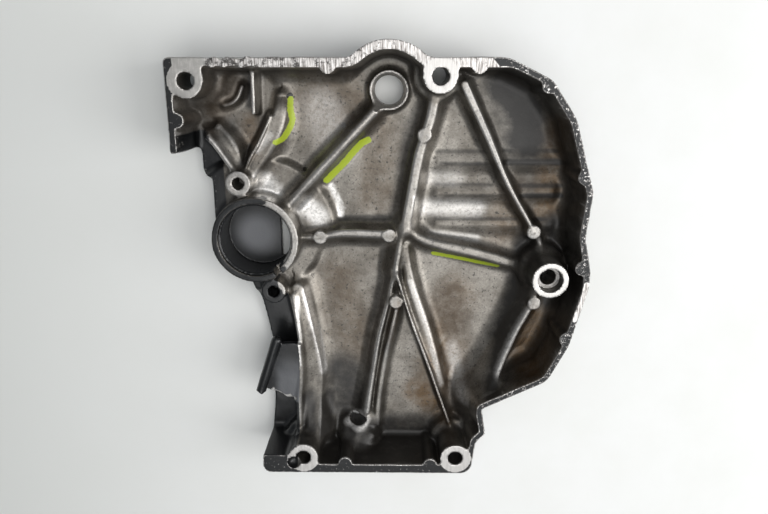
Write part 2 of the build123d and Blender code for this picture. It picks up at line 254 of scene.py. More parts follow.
# The guard over the open left side: outline of its plate, height at y = GUARD_Y, fall along y and
# half its thickness; the ends and radius of its rod; and the line along which it broke
GUARD_PLATE = [(-41.1, -35.0), (-48.4, -35.5), (-56.4, -60.0), (-51.6, -62.0), (-49.5, -62.5),
               (-46.4, -63.4), (-43.7, -64.3), (-38.7, -64.8), (-37.4, -47.0), (-37.6, -36.0)]
GUARD_Z = 15.0
GUARD_Y = -36
GUARD_FALL = 0.06
GUARD_HALF_T = 1.5
GUARD_ROD = [(-48.2, -33.6, 17.6), (-57.0, -60.5, 17.6)]
GUARD_ROD_R = 2.3
BREAK_X = np.array((-60, -55, -50, -46, -42))
BREAK_Y = np.array((-58.6, -58.2, -59.0, -61.4, -62.8))

# Edge of the black paint on the low left side, as y and x
PAINT_EDGE_Y = (-95, -64, -54, -44, -33, -21, -14, -8)
PAINT_EDGE_X = (-39, -39, -38.4, -37.8, -38.6, -40.4, -42, -46)

# A point above this height lies in the milled face
FACE_Z = RIM - 0.02

# Pits in the upper left floor, as place and radius
PITS = [((-39.8, 71.7), 1.8), ((-17.7, 59.5), 1.8), ((-34.6, 41.1), 1.3)]

# What time has left on the casting, and painted shade and highlights, as strokes: a path in the plane, a
# width and a strength.
# First black dirt and painted shade: many strokes darken pockets, wall feet and floors turned away from the
# lamps, and in the upper right pocket the dark that the glossy metal mirrors
SOOT_AND_SHADE = [
    ([(62, 9), (60, -8), (57.5, -20), (53, -34)], 7.0, 1.0),
    ([(53, -34), (49.5, -48), (46, -60), (41.5, -74)], 4.0, 1.0),
    ([(-46, -68), (-47, -78)], 7.0, 1.0),
    ([(-30, -89), (32, -88)], 9.5, 1.0),
    ([(33, -61), (36, -72)], 6, 0.8),
    ([(50, 76), (58, 68), (60, 54)], 12, 1.1),
    ([(47, 70), (54, 55)], 7, 0.6),
    ([(42, 74), (44, 60), (52, 48)], 7, 0.45),
    ([(60, 40), (58, 28)], 9, 0.4),
    ([(-38, -56), (-37, -70)], 4.0, 0.5),
    ([(-80, 60), (-74, 58), (-67, 58)], 8, 0.75),
    ([(-74, 72), (-60, 78)], 8, 0.5),
    ([(-56, 82), (-56.4, 68)], 2.6, 0.9),
    ([(-77, 47), (-73, 32), (-71, 18)], 6, 1.0),
    ([(-60.6, 42), (-57.5, 50)], 2.6, 0.9),
    ([(14.0, 68), (8.5, 50), (5.5, 30), (3.4, 20)], 3.2, 0.55),
    ([(-20, 19.2), (2, 19.6)], 2.0, 0.8),
    ([(0, -8), (-4, -30), (-8.5, -52), (-12, -70)], 5.5, 0.5),
    ([(-20, -54), (-16, -68), (-22, -80)], 12, 0.9),
    ([(-20, -80), (2, -84)], 9, 0.95),
    ([(-20, -82), (28, -82)], 7, 0.8),
    ([(-27.0, -66), (-27.5, -88)], 5.5, 1.0),
    ([(-37.2, -62), (-37.2, -82)], 2.2, 0.9),
    ([(74, 16), (78, 0), (75, -18)], 8, 0.9),
    ([(-40, 30), (-31, 37), (-18, 53)], 2.4, 0.4),
    ([(14, -34), (24, -66)], 1.6, 0.7),
    ([(-35.5, -64), (-34, -88)], 5.0, 0.9),
    ([(27, -18), (33, -30)], 12, 0.35),
    # Painted shade in lines at the feet of the groove ridges, left and right of the long rib
    ([(22, 48.6), (43, 48.6)], 1.2, 0.6),
    ([(24, 43.4), (43, 43.4)], 1.4, 0.75),
    ([(22, 34.4), (46, 34.4)], 1.0, 0.6),
    ([(26, 29.6), (50, 29.6)], 1.0, 0.5),
    ([(22, 19.4), (57, 19.4)], 1.0, 0.65),
    ([(50, 49.0), (76, 49.0)], 1.4, 0.8),
    ([(50, 44.3), (76, 44.3)], 2.2, 1.0),
    ([(58, 34.0), (76, 34.0)], 1.4, 0.75),
    ([(58, 29.7), (76, 29.7)], 1.8, 1.0),
    ([(63, 19.2), (76, 19.2)], 1.4, 0.85),
]

# Oil dried to brown varnish
OIL = [
    ([(68, -24), (64, -46)], 10, 1.0),
    ([(71, 58), (70, 24)], 8, 0.9),
    ([(56, 30), (52, 14)], 10, 0.6),
    ([(30, -18), (25, -60)], 13, 0.8),
    ([(15, -64), (27, -75)], 8, 1.0),
    ([(-58, 60), (-56, 50)], 6, 0.6),
    ([(-74, 62), (-64, 76)], 8, 0.6),
    ([(-22, -8), (-14, -42)], 12, 0.4),
    ([(-30, 80), (-6, 60), (-4, 30)], 12, 0.35),
    ([(5.5, -19), (2, -36)], 2.5, 0.9),
    ([(-32, 66), (-20, 56)], 12, 0.45),
]

# Worn metal, and painted highlights where light catches the step round the housing, the ribs, the low wall
# and the floor
RUBBED_AND_HIGHLIGHTS = [
    ([(-52.5, 36.5), (-48.5, 31.5)], 5.0, 1.0),
    ([(-35.5, 26.5), (-29.0, 20.5)], 5.0, 1.0),
    ([(-23.5, 33.5), (-20.5, 27.0), (-19.6, 21.0)], 1.6, 1.0),
    ([(12.9, 30.0), (12.4, 18.0)], 1.8, 0.9),
    ([(17, 24.5), (40, 24.0)], 4.5, 0.55),
    ([(17, 37.5), (30, 37.0)], 4.0, 0.3),
    ([(20, 12.5), (40, 10.5)], 2.5, 0.4),
    ([(-35.4, -12), (-33.8, -22), (-31.4, -32)], 1.8, 0.9),
    ([(-31.4, -32), (-29.6, -44), (-28.6, -52)], 1.8, 0.8),
    ([(-70.5, 52), (-66, 46)], 2.0, 0.5),
    ([(-53, 50), (-48, 56)], 2.0, 0.4),
    ([(-27, 66), (-20, 50)], 10, 0.3),
    ([(11, -8), (19, -31), (26, -58)], 1.6, 0.5),
    ([(31, -42), (33, -52), (36, -62)], 4.0, 0.35),
    ([(-38.9, -15), (-38.6, -46)], 1.2, 0.9),
    ([(-59, -59.0), (-55, -58.6), (-50, -59.4), (-46, -61.8), (-42, -63.2)], 1.4, 1.0),
]

# Paint-pen lines, as path and width
PEN_LINES = [
    ([(-39.5, 70.4), (-39.6, 65.9), (-39.0, 61.8), (-40.8, 57.6), (-43.1, 54.2), (-45.7, 53.0)], 2.1),
    ([(-7.4, 53.4), (-9.9, 52.2), (-13.0, 49.2), (-17.3, 44.1), (-21.7, 39.8), (-25.2, 36.3)], 2.8),
    ([(21.2, 3.6), (33.3, 1.4), (42.3, -0.5), (49.9, -1.8)], 1.7),
]

# The camera of the photograph: its place in metres, and the pixel that lies straight below it
CAMERA_PLACE = (0.0027, 0.0844, 0.290)
PLUMB_PIXEL = (392.0, 64.0)
FOCAL_PIXELS = 665.0
IMAGE_SIZE = (768, 514)
SENSOR_MM = 36.0

# Soft lamps over the cover, as name, place and size in metres, and power in watts
LAMPS = [
    ("window", (0.95, -0.05, 0.62), (0.68, 1.0), 9.2),
    ("ceiling", (0.2, 0.25, 1.1), (1.0, 0.9), 4.6),
    ("front", (0.12, -0.46, 1.2), (0.9, 0.66), 3.2),
]
ROOM_COLOUR = (0.9, 0.95, 1.0, 1)
ROOM_STRENGTH = 0.28
FLOOR_REACH = 3000.0


def linear(hex_code):
    """Linear colour of an sRGB hex colour, by the sRGB curve."""
    channels = np.array([int(hex_code[i : i + 2], 16) for i in (0, 2, 4)]) / 255
    low_part = channels / 12.92
    high_part = ((channels + 0.055) / 1.055) ** 2.4
    return (*np.where(channels <= 0.04045, low_part, high_part).tolist(), 1.0)


def unit(vector):
    """The vector at length one."""
    return np.asarray(vector) / np.linalg.norm(vector)


def inset(corners, gaps):
    """Corners of a closed clockwise outline whose side i, from corner i on, moves in by gaps[i]."""
    moved = []
    for i, (x, y, r) in enumerate(corners):
        before = unit(np.subtract((x, y), corners[i - 1][:2]))
        after = unit(np.subtract(corners[(i + 1) % len(corners)][:2], (x, y)))
        turn = before[0] * after[1] - before[1] * after[0]
        point = np.array((x, y)) + before * (gaps[i] / turn) - after * (gaps[i - 1] / turn)
        grown = r + np.sign(turn) * (gaps[i] + gaps[i - 1]) / 2
        moved.append((point[0], point[1], max(grown, 0.3) if r else 0))
    return moved


def rounded(corners, spacing=0.8):
    """Points of a closed outline: each corner is an arc of its radius that touches both its sides."""
    points = []
    for i, (x, y, r) in enumerate(corners):
        here = np.array((x, y))
        if not r:
            points.append(here[None])
            continue
        back = unit(np.array(corners[i - 1][:2]) - here)
        ahead = unit(np.array(corners[(i + 1) % len(corners)][:2]) - here)
        half = np.arccos(np.clip(back @ ahead, -1, 1)) / 2
        centre = here + unit(back + ahead) * r / sin(half)
        first = here + back * r / tan(half) - centre
        last = here + ahead * r / tan(half) - centre
        start = atan2(first[1], first[0])
        sweep = (atan2(last[1], last[0]) - start + pi) % (2 * pi) - pi
        angles = start + sweep * np.linspace(0, 1, max(2, ceil(abs(sweep) * r / spacing)) + 1)
        points.append(centre + r * np.stack([np.cos(angles), np.sin(angles)], 1))
    return np.concatenate(points)


def smooth_path(points, spacing=1.5):
    """A Catmull-Rom curve through the points: each span is a cubic whose ends have the slopes of
    the chords between the neighbours. Extra columns, such as a height, are carried along."""
    points = np.array(points, float)
    if len(points) == 2:
        return points
    ends = np.vstack([2 * points[0] - points[1], points, 2 * points[-1] - points[-2]])
    spans = []
    for a, b, c, d in zip(ends[:-3], ends[1:-2], ends[2:-1], ends[3:]):
        t = np.linspace(0, 1, max(2, ceil(np.linalg.norm((c - b)[:2]) / spacing)), endpoint=False)[:, None]
        spans.append(0.5 * (2 * b + (c - a) * t + (2 * a - 5 * b + 4 * c - d) * t**2
                            + (3 * b - a - 3 * c + d) * t**3))
    return np.vstack(spans + [points[-1:]])


def outline_distance(points, x, y):
    """Signed distance in the plane to a closed outline, below zero inside: the nearest of its
    sides gives the distance, and an odd number of crossings to the right means inside."""
    nearest = np.full(np.broadcast(x, y).shape, np.inf, np.float32)
    inside = np.zeros(nearest.shape, bool)
    for (ax, ay), (bx, by) in zip(points, np.roll(points, -1, 0)):
        dx, dy = bx - ax, by - ay
        along = np.clip(((x - ax) * dx + (y - ay) * dy) / max(dx * dx + dy * dy, 1e-9), 0, 1)
        np.minimum(nearest, (x - ax - along * dx) ** 2 + (y - ay - along * dy) ** 2, out=nearest)
        if ay != by:
            crosses = ((ay > y) != (by > y)) & (x < dx * (y - ay) / dy + ax)
            inside ^= crosses
    return np.where(inside, -1, 1) * np.sqrt(nearest)


def path_distance(path, x, y):
    """Distance in the plane to an open path, on which side the point lies, above zero to the left
    of the path's direction, and the path's further columns at the nearest point."""
    shape = np.broadcast(x, y).shape
    nearest = np.full(shape, np.inf, np.float32)
    side = np.zeros(shape, np.float32)
    carried = np.zeros((len(path[0]) - 2, *shape), np.float32)
    for a, b in zip(path[:-1], path[1:]):
        dx, dy = b[0] - a[0], b[1] - a[1]
        along = np.clip(((x - a[0]) * dx + (y - a[1]) * dy) / (dx * dx + dy * dy), 0, 1)
        gap = (x - a[0] - along * dx) ** 2 + (y - a[1] - along * dy) ** 2
        closer = gap < nearest
        nearest = np.where(closer, gap, nearest)
        side = np.where(closer, np.sign(dx * (y - a[1]) - dy * (x - a[0])), side)
        for i in range(len(carried)):
            carried[i] = np.where(closer, a[2 + i] + along * (b[2 + i] - a[2 + i]), carried[i])
    return np.sqrt(nearest), side, carried


def joined(a, b, r):
    """Union of two solids given as distances, with a fillet of radius r where they meet: near the
    meeting line the distance is r less the length of both shortfalls."""
    if np.isscalar(r) and r <= 0:
        return np.minimum(a, b)
    return np.maximum(r, np.minimum(a, b)) - np.hypot(np.maximum(r - a, 0), np.maximum(r - b, 0))


def common(a, b, r):
    """What two solids share, with the edge between them rounded to radius r."""
    return -joined(-a, -b, r)


def rise(t):
    """Smooth step from 0 to 1 while t goes from 0 to 1: three t squared less two t cubed."""
    t = np.clip(t, 0, 1)
    return t * t * (3 - 2 * t)


def blurred(field, sigma):
    """A plane field under a bell of standard deviation sigma, given in cells, by its spectrum."""
    rows = np.fft.fftfreq(field.shape[0])[:, None]
    columns = np.fft.rfftfreq(field.shape[1])[None]
    bell = np.exp(-2 * (pi * sigma) ** 2 * (rows**2 + columns**2))
    return np.fft.irfft2(np.fft.rfft2(field) * bell, s=field.shape)


def mottle(shape, sigma, seed):
    """Smooth random relief with a spread of one: blurred random numbers from a fixed seed."""
    field = blurred(np.random.default_rng(seed).standard_normal(shape), sigma)
    return field / field.std()


class Block:
    """A block of space in cubic cells that holds, at each grid point, the distance to the casting's
    surface, below zero inside the metal."""

    def __init__(self, step):
        self.step = step
        self.origin = np.array((LEFT - 3 * step, BOTTOM - 3 * step, BASE - 3 * step))
        self.size = np.ceil((high_corner - low_corner) / step).astype(int) + 7
        self.x, self.y, self.z = (
            (self.origin[i] + step * np.arange(self.size[i])).astype(np.float32) for i in range(3)
        )
        self.field = None

    def window(self, low, high):
        """Slices and open grids of the part of the block between two plan corners."""
        first = np.clip(np.floor((np.array(low) - self.origin[:2]) / self.step), 0, None).astype(int)
        last = np.minimum(np.ceil((np.array(high) - self.origin[:2]) / self.step) + 1, self.size[:2])
        part = (slice(first[0], int(last[0])), slice(first[1], int(last[1])))
        return part, self.x[part[0], None, None], self.y[None, part[1], None], self.z[None, None]

    def add(self, low, high, shape, fillet):
        """Joins shape(x, y, z) to the metal between two plan corners, with a fillet at its foot."""
        part, x, y, z = self.window(low, high)
        self.field[part] = joined(self.field[part], shape(x, y, z), fillet)

    def cut(self, low, high, shape, edge=0.0):
        """Takes shape(x, y, z) out of the metal between two plan corners."""
        part, x, y, z = self.window(low, high)
        self.field[part] = -joined(-self.field[part], shape(x, y, z), edge)

    def ridge(self, path, top, width=RIB_W, draft=(9, 9), crest=1.3, fillet=RIB_FILLET, reach=18):
        """A rib along a path: flat crest with rounded edges and flanks that widen downwards by the
        left and right draft. The top and the width are one number, or one for each path point."""
        columns = [np.full(len(path), v, float) if np.isscalar(v) else np.array(v) for v in (top, width)]
        curve = smooth_path(np.column_stack([np.array(path, float), *columns]))
        low, high = curve[:, :2].min(0) - reach, curve[:, :2].max(0) + reach
        left_slope, right_slope = (tan(radians(d)) for d in draft)

        def shape(x, y, z):
            gap, side, (height, wide) = path_distance(curve, x[..., 0], y[..., 0])
            slope = np.where(side > 0, left_slope, right_slope)[..., None]
            flank = (gap - wide / 2)[..., None] - (height[..., None] - z) * slope
            return common(flank / np.hypot(1, slope), z - height[..., None], crest)

        self.add(low, high, shape, fillet)

    def boss(self, centre, radius, top, draft=1.5, crest=0.15, fillet=2.0):
        """A round boss that widens downwards by its draft."""
        slope = tan(radians(draft))
        reach = radius + top * slope + 4 * fillet

        def shape(x, y, z):
            flank = np.hypot(x - centre[0], y - centre[1]) - radius - (top - z) * slope
            return common(flank, z - top, crest)

        self.add(np.array(centre) - reach, np.array(centre) + reach, shape, fillet)

    def hole(self, centre, radius, bottom, top, edge=0.0):
        """A round hole between two heights."""
        reach = radius + 2

        def shape(x, y, z):
            wall = np.hypot(x - centre[0], y - centre[1]) - radius
            return np.maximum(wall, np.maximum(bottom - z, z - top))

        self.cut(np.array(centre) - reach, np.array(centre) + reach, shape, edge)


def shell_and_hollow(block):
    """The thin-walled shell: a drafted block with a rounded lower edge, less a drafted hollow whose
    floor meets the walls in a cove. The floor steps up round the release housing."""
    x, y, z = block.x[:, None], block.y[None], block.z[None, None]
    outer = outline_distance(rounded(RIM_CORNERS + OPEN_CORNERS), x, y)[..., None]
    side = (outer + (RIM - z) * tan(radians(OUTER_DRAFT))) * cos(radians(OUTER_DRAFT))
    body = common(side, BASE - z, EDGE_ROUND)

    rim_gaps = [TOP_RIM] * 4 + [SIDE_RIM] * 12 + [BOTTOM_RIM]
    rim_inside = inset(RIM_CORNERS + [(LEFT, 0, 0)], rim_gaps + [0, 0])[1:-2]
    mouth = (
        [(LEFT + WING_RIM, TOP_EDGE - TOP_RIM, 1.5)]
        + rim_inside
        + [
            (LOW_WALL_X, BOTTOM + BOTTOM_RIM, 0),
            (LOW_WALL_X, BOTTOM + CORNER_SHELF, 0),
            (LEFT - 20, BOTTOM + CORNER_SHELF, 0),
            (LEFT - 20, WING_END + 1, 0),
            (LEFT + WING_RIM, WING_END + 1, 1.0),
        ]
    )
    inner = outline_distance(rounded(mouth), x, y)[..., None]
    wall = (inner + (RIM - z) * tan(radians(INNER_DRAFT))) * cos(radians(INNER_DRAFT))

    # The cove is wide on the right side and along the top left, and tight at the bottom wall
    cove = COVE_R + COVE_RIGHT * rise((x - 34) / 12) * rise((y + 62) / 8)
    cove = cove + COVE_TOP_LEFT * rise((y - 62) / 12) * rise((x + 52) / 8) * rise((-8 - x) / 10)

    # The step round the release housing, wider above its rib than below
    ring_gap = np.hypot(x - RING[0], y - RING[1])
    upper = rise((y - RING[1]) / 2.0)
    step_r = STEP_R + STEP_GAIN * upper
    floor = SKIN + STEP_H * rise((step_r - ring_gap) / STEP_SLOPE_W)
    floor = floor + 0.12 * mottle(floor.shape, 9 / block.step, 3)
    hollow = common(wall, floor[..., None] - z, cove[..., None])
    block.body = body
    block.field = np.maximum(body, -hollow)


def ridges(block):
    """The ribs between the bosses, then the walls of the left side."""
    for row in RIBS + WALLS:
        block.ridge(*row)


def broken_guard(block):
    """What is left of the guard over the open left side: a plate with a round rod along its left edge,
    broken off at its lower end."""
    plate = np.array(GUARD_PLATE)

    def guard(x, y, z):
        gap = outline_distance(plate, x[..., 0], y[..., 0])[..., None]
        middle = GUARD_Z + GUARD_FALL * (y - GUARD_Y)
        return common(gap, np.abs(z - middle) - GUARD_HALF_T, 0.6)

    block.add(plate.min(0) - 4, plate.max(0) + 4, guard, 1.2)
    start, end = np.array(GUARD_ROD)
    span = end - start

    def rod(x, y, z):
        along = ((x - start[0]) * span[0] + (y - start[1]) * span[1]) / (span[:2] ** 2).sum()
        along = np.clip(along, 0, 1)
        gap_x = x - start[0] - along * span[0]
        gap_y = y - start[1] - along * span[1]
        return np.sqrt(gap_x**2 + gap_y**2 + (z - start[2]) ** 2) - GUARD_ROD_R

    block.add(np.minimum(start, end)[:2] - 5, np.maximum(start, end)[:2] + 5, rod, 0.6)

    # The break leaves a ragged face
    ragged = 0.5 * mottle((block.size[0], block.size[1]), 0.8 / block.step, 12)
    broken_off = (-62, -70), (-42.4, -50)

    def beyond(x, y, z):
        part = block.window(*broken_off)[0]
        edge = np.interp(x, BREAK_X, BREAK_Y)
        return np.maximum(y - edge + ragged[part][..., None], np.maximum(12.0 - z, z - 20))

    block.cut(*broken_off, beyond)


def bosses(block):
    """Bolt bosses up to the rim, the release housing, the shaft boss, the drain lump and the marks
    of the ejector pins."""
    block.boss(WING_BOLT, SEAT_R + 0.6, SEAT_DEPTH + 2.2, draft=38, crest=3.0, fillet=4.0)
    for bolt in BOLTS[1:]:
        block.boss(bolt, SEAT_R + 2.4, SEAT_DEPTH + 2.2, draft=6, crest=1.5, fillet=2.5)
    for bolt in BOLTS[:2] + BOLTS[3:]:
        block.boss(bolt, BOSS_R, RIM, draft=BOSS_DRAFT)
    block.boss(DOWEL_BOLT, DOWEL_BOSS_R, RIM, draft=BOSS_DRAFT, fillet=5.0)
    wing_pad = [(LEFT, TOP_EDGE), (WING_BOLT[0] + BOSS_R, TOP_EDGE), (WING_BOLT[0] + BOSS_R, WING_BOLT[1]),
                (LEFT + 2.5, WING_BOLT[1])]
    lug = [(TOP_BOLT[0] - BOSS_R, TOP_EDGE), (TOP_BOLT[0] + BOSS_R, TOP_EDGE),
           (TOP_BOLT[0] + BOSS_R, TOP_BOLT[1]), (TOP_BOLT[0] - BOSS_R, TOP_BOLT[1])]
    for corners in (wing_pad, lug):
        points = np.array(corners)

        def web(x, y, z, points=points):
            gap = outline_distance(points, x[..., 0], y[..., 0])[..., None]
            return common(gap - (RIM - z) * tan(radians(BOSS_DRAFT)), z - RIM, 0.1)

        block.add(points.min(0) - 8, points.max(0) + 8, web, 1.2)

    block.boss(RING, FLANGE_R, SKIN + 2.0, draft=2, crest=0.8, fillet=1.5)
    block.boss(RING, RING_R, RING_TOP, draft=1.0, crest=0.35, fillet=2.0)
    for screw in SCREWS:
        block.boss(screw, SCREW_BOSS_R, SCREW_TOP, draft=1.5, crest=0.4, fillet=2.0)
    block.boss(SHAFT, SHAFT_BOSS_R, SHAFT_BOSS_Z, draft=4, crest=0.5, fillet=2.5)

    for pin, top in CREST_PINS:
        block.boss(pin, PIN_R, top, draft=3, crest=0.15, fillet=0.8)
    for pin in RIM_PADS:
        block.boss(pin, PIN_R, RIM, draft=1, crest=0.1, fillet=1.0)

    # The lump beside the drain hole, as if the metal had run, and the raised lip round the hole
    block.ridge([(-10.4, -79.0), (-13.6, -93.0)], (10.5, 20.0), 8.5, (14, 14), 2.5, 3.0)
    for spot, radius, top in DRAIN_LUMPS:
        block.boss(spot, radius, top, draft=22, crest=radius * 0.8, fillet=2.0)

    # Grooves of the outer face stand up as ridges inside
    for y_groove, width in GROOVES:
        block.ridge([(23.0, y_groove), (72.0, y_groove)], SKIN + 1.4, width, (45, 45), 1.3, 3.0)


def cuts(block):
    """The fine unevenness and the torn skin, then holes, seats, the release bore with its hood and
    keyway, grooves, the drain and the chip, and last the flat rim face and underside."""
    plan = (block.size[0], block.size[1])
    x, y = block.x[:, None], block.y[None]
    block.field += (0.05 * mottle(plan, 2.2 / block.step, 5))[..., None]

    # The rough skin where the top rim lifted from the die
    scab = rise((x + 71) / 3) * rise((-44 - x) / 8) * rise((y - TOP_EDGE + 9) / 4)
    rough = 0.35 * mottle(plan, 0.9 / block.step, 8)
    torn = rise((block.z - RIM + 4) / 4)
    block.field += (scab * (0.2 + rough))[..., None].astype(np.float32) * torn.astype(np.float32)

    for bolt in BOLTS:
        block.hole(bolt, SEAT_R, BASE - 1, SEAT_DEPTH, 0.2)
        block.hole(bolt, BOLT_HOLE_R, BASE - 1, RIM + 1)
    block.hole(DOWEL_BOLT, DOWEL_R, RIM - DOWEL_DEPTH, RIM + 1)
    block.hole(SHAFT, SHAFT_R, BASE - 1, RIM + 1)

    def lead(x, y, z):
        cone = np.hypot(x - SHAFT[0], y - SHAFT[1]) - SHAFT_R - SHAFT_LEAD + (SHAFT_BOSS_Z - z) * 0.9
        return np.maximum(cone * 0.74, 6.0 - z)

    block.cut(np.array(SHAFT) - 10, np.array(SHAFT) + 10, lead)
    block.hole(RING, BORE_R, HOOD, RIM)
    block.hole(RING, LEAD_R, RING_TOP - LEAD_DEPTH, RIM)

    def window(x, y, z):
        round_gap = np.hypot(x - RING[0], y - RING[1]) - BORE_R
        return np.maximum(np.maximum(round_gap, RING[0] + WINDOW_X - x), z - HOOD - 1)

    block.cut(np.array(RING) - 17, np.array(RING) + 17, window)

    def keyway(x, y, z):
        along = np.array((cos(KEYWAY_ANGLE), sin(KEYWAY_ANGLE)))
        reach = np.clip((x - RING[0]) * along[0] + (y - RING[1]) * along[1], 0, KEYWAY_REACH)
        gap = np.hypot(x - RING[0] - reach * along[0], y - RING[1] - reach * along[1]) - KEYWAY_W / 2
        return np.maximum(gap, RING_TOP - KEYWAY_DEPTH - z)

    block.cut(np.array(RING) - 24, np.array(RING) + 24, keyway)
    for screw in SCREWS:
        block.hole(screw, SCREW_HOLE_R, SCREW_TOP - SCREW_DEPTH, RIM)

    for y_groove, _ in GROOVES:
        groove = np.array([(end, y_groove) for end in GROOVE_ENDS])

        def channel(x, y, z, groove=groove):
            gap = path_distance(groove, x[..., 0], y[..., 0])[0][..., None]
            return np.hypot(gap, np.maximum(z - BASE, 0)) - GROOVE_R

        block.cut((18, y_groove - 4), (77, y_groove + 4), channel, 0.3)

    def drain(x, y, z):
        flat = np.hypot((x - DRAIN[0]) / DRAIN_HALF[0], (y - DRAIN[1]) / DRAIN_HALF[1])
        return (flat - 1) * DRAIN_HALF[1]

    block.cut((-20, DRAIN[1] - 6), (-5, DRAIN[1] + 6), drain, 0.3)

    def chip(x, y, z):
        return np.sqrt((x - CHIP[0]) ** 2 + (y - CHIP[1]) ** 2 + (0.8 * (z - CHIP[2])) ** 2) - CHIP_R

    block.cut(np.array(LOW_LEFT_BOLT) - 10, np.array(LOW_LEFT_BOLT) + 3, chip)

    # How far each point of the rim face lies inside its edge, read a little below the face
    layer = int(round((RIM - 1.2 - block.origin[2]) / block.step))
    block.rim_gap = block.field[:, :, layer].copy()
    block.field = np.maximum(block.field, block.z - RIM)
    block.field = np.maximum(block.field, BASE - block.z)


def sampled(field, block, points):
    """Values of a block or plane field at points, straight between the grid points around them."""
    place = (points[:, : field.ndim] - block.origin[: field.ndim]) / block.step
    cell = np.clip(np.floor(place).astype(int), 0, np.array(field.shape) - 2)
    part = np.clip(place - cell, 0, 1)
    total = 0
    for corner in np.ndindex(*(2,) * field.ndim):
        weight = np.prod(np.where(corner, part, 1 - part), axis=1)
        total = total + weight * field[tuple((cell + corner).T)]
    return total


def slopes(block, points):
    """Unit outward normals from the field: its differences over half a cell each way."""
    half = 0.5 * block.step
    parts = []
    for axis in range(3):
        shift = np.zeros(3)
        shift[axis] = half
        ahead, behind = (sampled(block.field, block, points + way * shift) for way in (1, -1))
        parts.append(ahead - behind)
    normals = np.stack(parts, 1)
    return normals / np.maximum(np.linalg.norm(normals, axis=1, keepdims=True), 1e-9)


def surface(block):
    """Skin of the block, as a surface net: a cell that the surface crosses gets one point, the mean
    of the crossings on its edges, and each crossed edge gets a quad between its four cells. The
    points are then moved along the field's slope towards its zero, and those close under the rim
    face are set on it."""
    field = block.field
    cells = np.array(field.shape) - 1
    strides = np.array((cells[1] * cells[2], cells[2], 1))
    ids, places, quads = [], [], []
    for axis in range(3):
        near = np.moveaxis(field, axis, 0)[:-1]
        far = np.moveaxis(field, axis, 0)[1:]
        crossed = np.argwhere((near < 0) != (far < 0))
        a, b = near[tuple(crossed.T)], far[tuple(crossed.T)]
        order = [axis] + [i for i in range(3) if i != axis]
        index = np.empty_like(crossed)
        index[:, order] = crossed
        place = index.astype(np.float64)
        place[:, axis] += a / (a - b)
        first, second = (axis + 1) % 3, (axis + 2) % 3
        ring = []
        for du, dv in ((0, 0), (-1, 0), (-1, -1), (0, -1)):
            moved = index.copy()
            moved[:, first] += du
            moved[:, second] += dv
            ring.append(moved @ strides)
        ring = np.stack(ring, 1)
        ring[a > 0] = ring[a > 0][:, ::-1]
        quads.append(ring)
        ids.append(ring.ravel())
        places.append(np.repeat(place, 4, axis=0))
    slot = np.unique(np.concatenate(ids), return_inverse=True)[1]
    places = np.concatenate(places)
    count = np.bincount(slot)
    points = np.stack([np.bincount(slot, places[:, i]) / count for i in range(3)], 1)
    points = block.origin + points * block.step
    faces = slot.reshape(-1, 4)
    for _ in range(3):
        gap = sampled(block.field, block, points)
        points -= slopes(block, points) * np.clip(gap, -0.3, 0.3)[:, None] * 0.9
    points[:, 2] = np.where(points[:, 2] > RIM - 0.28, RIM, points[:, 2])
    return np.clip(points, low_corner, high_corner), faces


def corner_normals(block, points, faces):
    """Normals for each corner of each face: the field's slope where it agrees with the face, and
    the face's own direction at a sharp edge."""
    smooth = slopes(block, points)[faces]
    flat = np.cross(points[faces[:, 1]] - points[faces[:, 0]], points[faces[:, 2]] - points[faces[:, 0]])
    flat /= np.maximum(np.linalg.norm(flat, axis=1, keepdims=True), 1e-12)
    agree = (smooth * flat[:, None]).sum(2) > cos(radians(32))
    return np.where(agree[..., None], smooth, flat[:, None])


def triangles_of(points, quads):
    """Each quad as two triangles, split along its shorter diagonal."""
    one = np.linalg.norm(points[quads[:, 0]] - points[quads[:, 2]], axis=1)
    other = np.linalg.norm(points[quads[:, 1]] - points[quads[:, 3]], axis=1)
    turned = np.where((one > other)[:, None], np.roll(quads, -1, 1), quads)
    return np.concatenate([turned[:, [0, 1, 2]], turned[:, [0, 2, 3]]])


def made_mesh(name, points, faces):
    """Mesh object at the origin from points in millimetres and rows of corner numbers."""
    mesh = bpy.data.meshes.new(name)
    mesh.from_pydata(points * MM, [], faces)
    mesh.update()
    piece = bpy.data.objects.new(name, mesh)
    bpy.context.scene.collection.objects.link(piece)
    return piece


def points_and_faces(mesh):
    """Points of a mesh of triangles, in metres, and each triangle's three corner numbers."""
    points = np.empty(len(mesh.vertices) * 3, np.float32)
    mesh.vertices.foreach_get("co", points)
    corners = np.empty(len(mesh.loops), np.int32)
    mesh.loops.foreach_get("vertex_index", corners)
    return points.reshape(-1, 3), corners.reshape(-1, 3)


def without_doubles(mesh):
    """The mesh without the pairs of triangles that share all three corners, and without the points
    that only they use. Thinning leaves such a pair where it closes a sliver, and the pair holds no
    metal, while the export would drop one of the two and leave a hole."""
    places, faces = points_and_faces(mesh)
    pair, count = np.unique(np.sort(faces, axis=1), axis=0, return_inverse=True, return_counts=True)[1:]
    used, corners = np.unique(faces[count[pair.ravel()] == 1], return_inverse=True)
    clean = bpy.data.meshes.new(mesh.name)
    clean.from_pydata(places[used], [], corners.reshape(-1, 3))
    clean.update()
    return clean


def thinned(piece, share, keep):
    """The piece's mesh with flat stretches made of fewer triangles, down to a share of them. Points
    where keep is 1 stay close together."""
    group = piece.vertex_groups.new(name="thin")
    group.add(np.flatnonzero(keep < 0.5).tolist(), 1.0, "REPLACE")
    modifier = piece.modifiers.new("thin", "DECIMATE")
    modifier.ratio = share
    modifier.use_collapse_triangulate = True
    modifier.vertex_group = group.name
    modifier.vertex_group_factor = 10.0
    applied = bpy.data.meshes.new_from_object(piece.evaluated_get(bpy.context.evaluated_depsgraph_get()))
    piece.modifiers.clear()
    piece.vertex_groups.clear()
    piece.data = without_doubles(applied)
    return piece.data


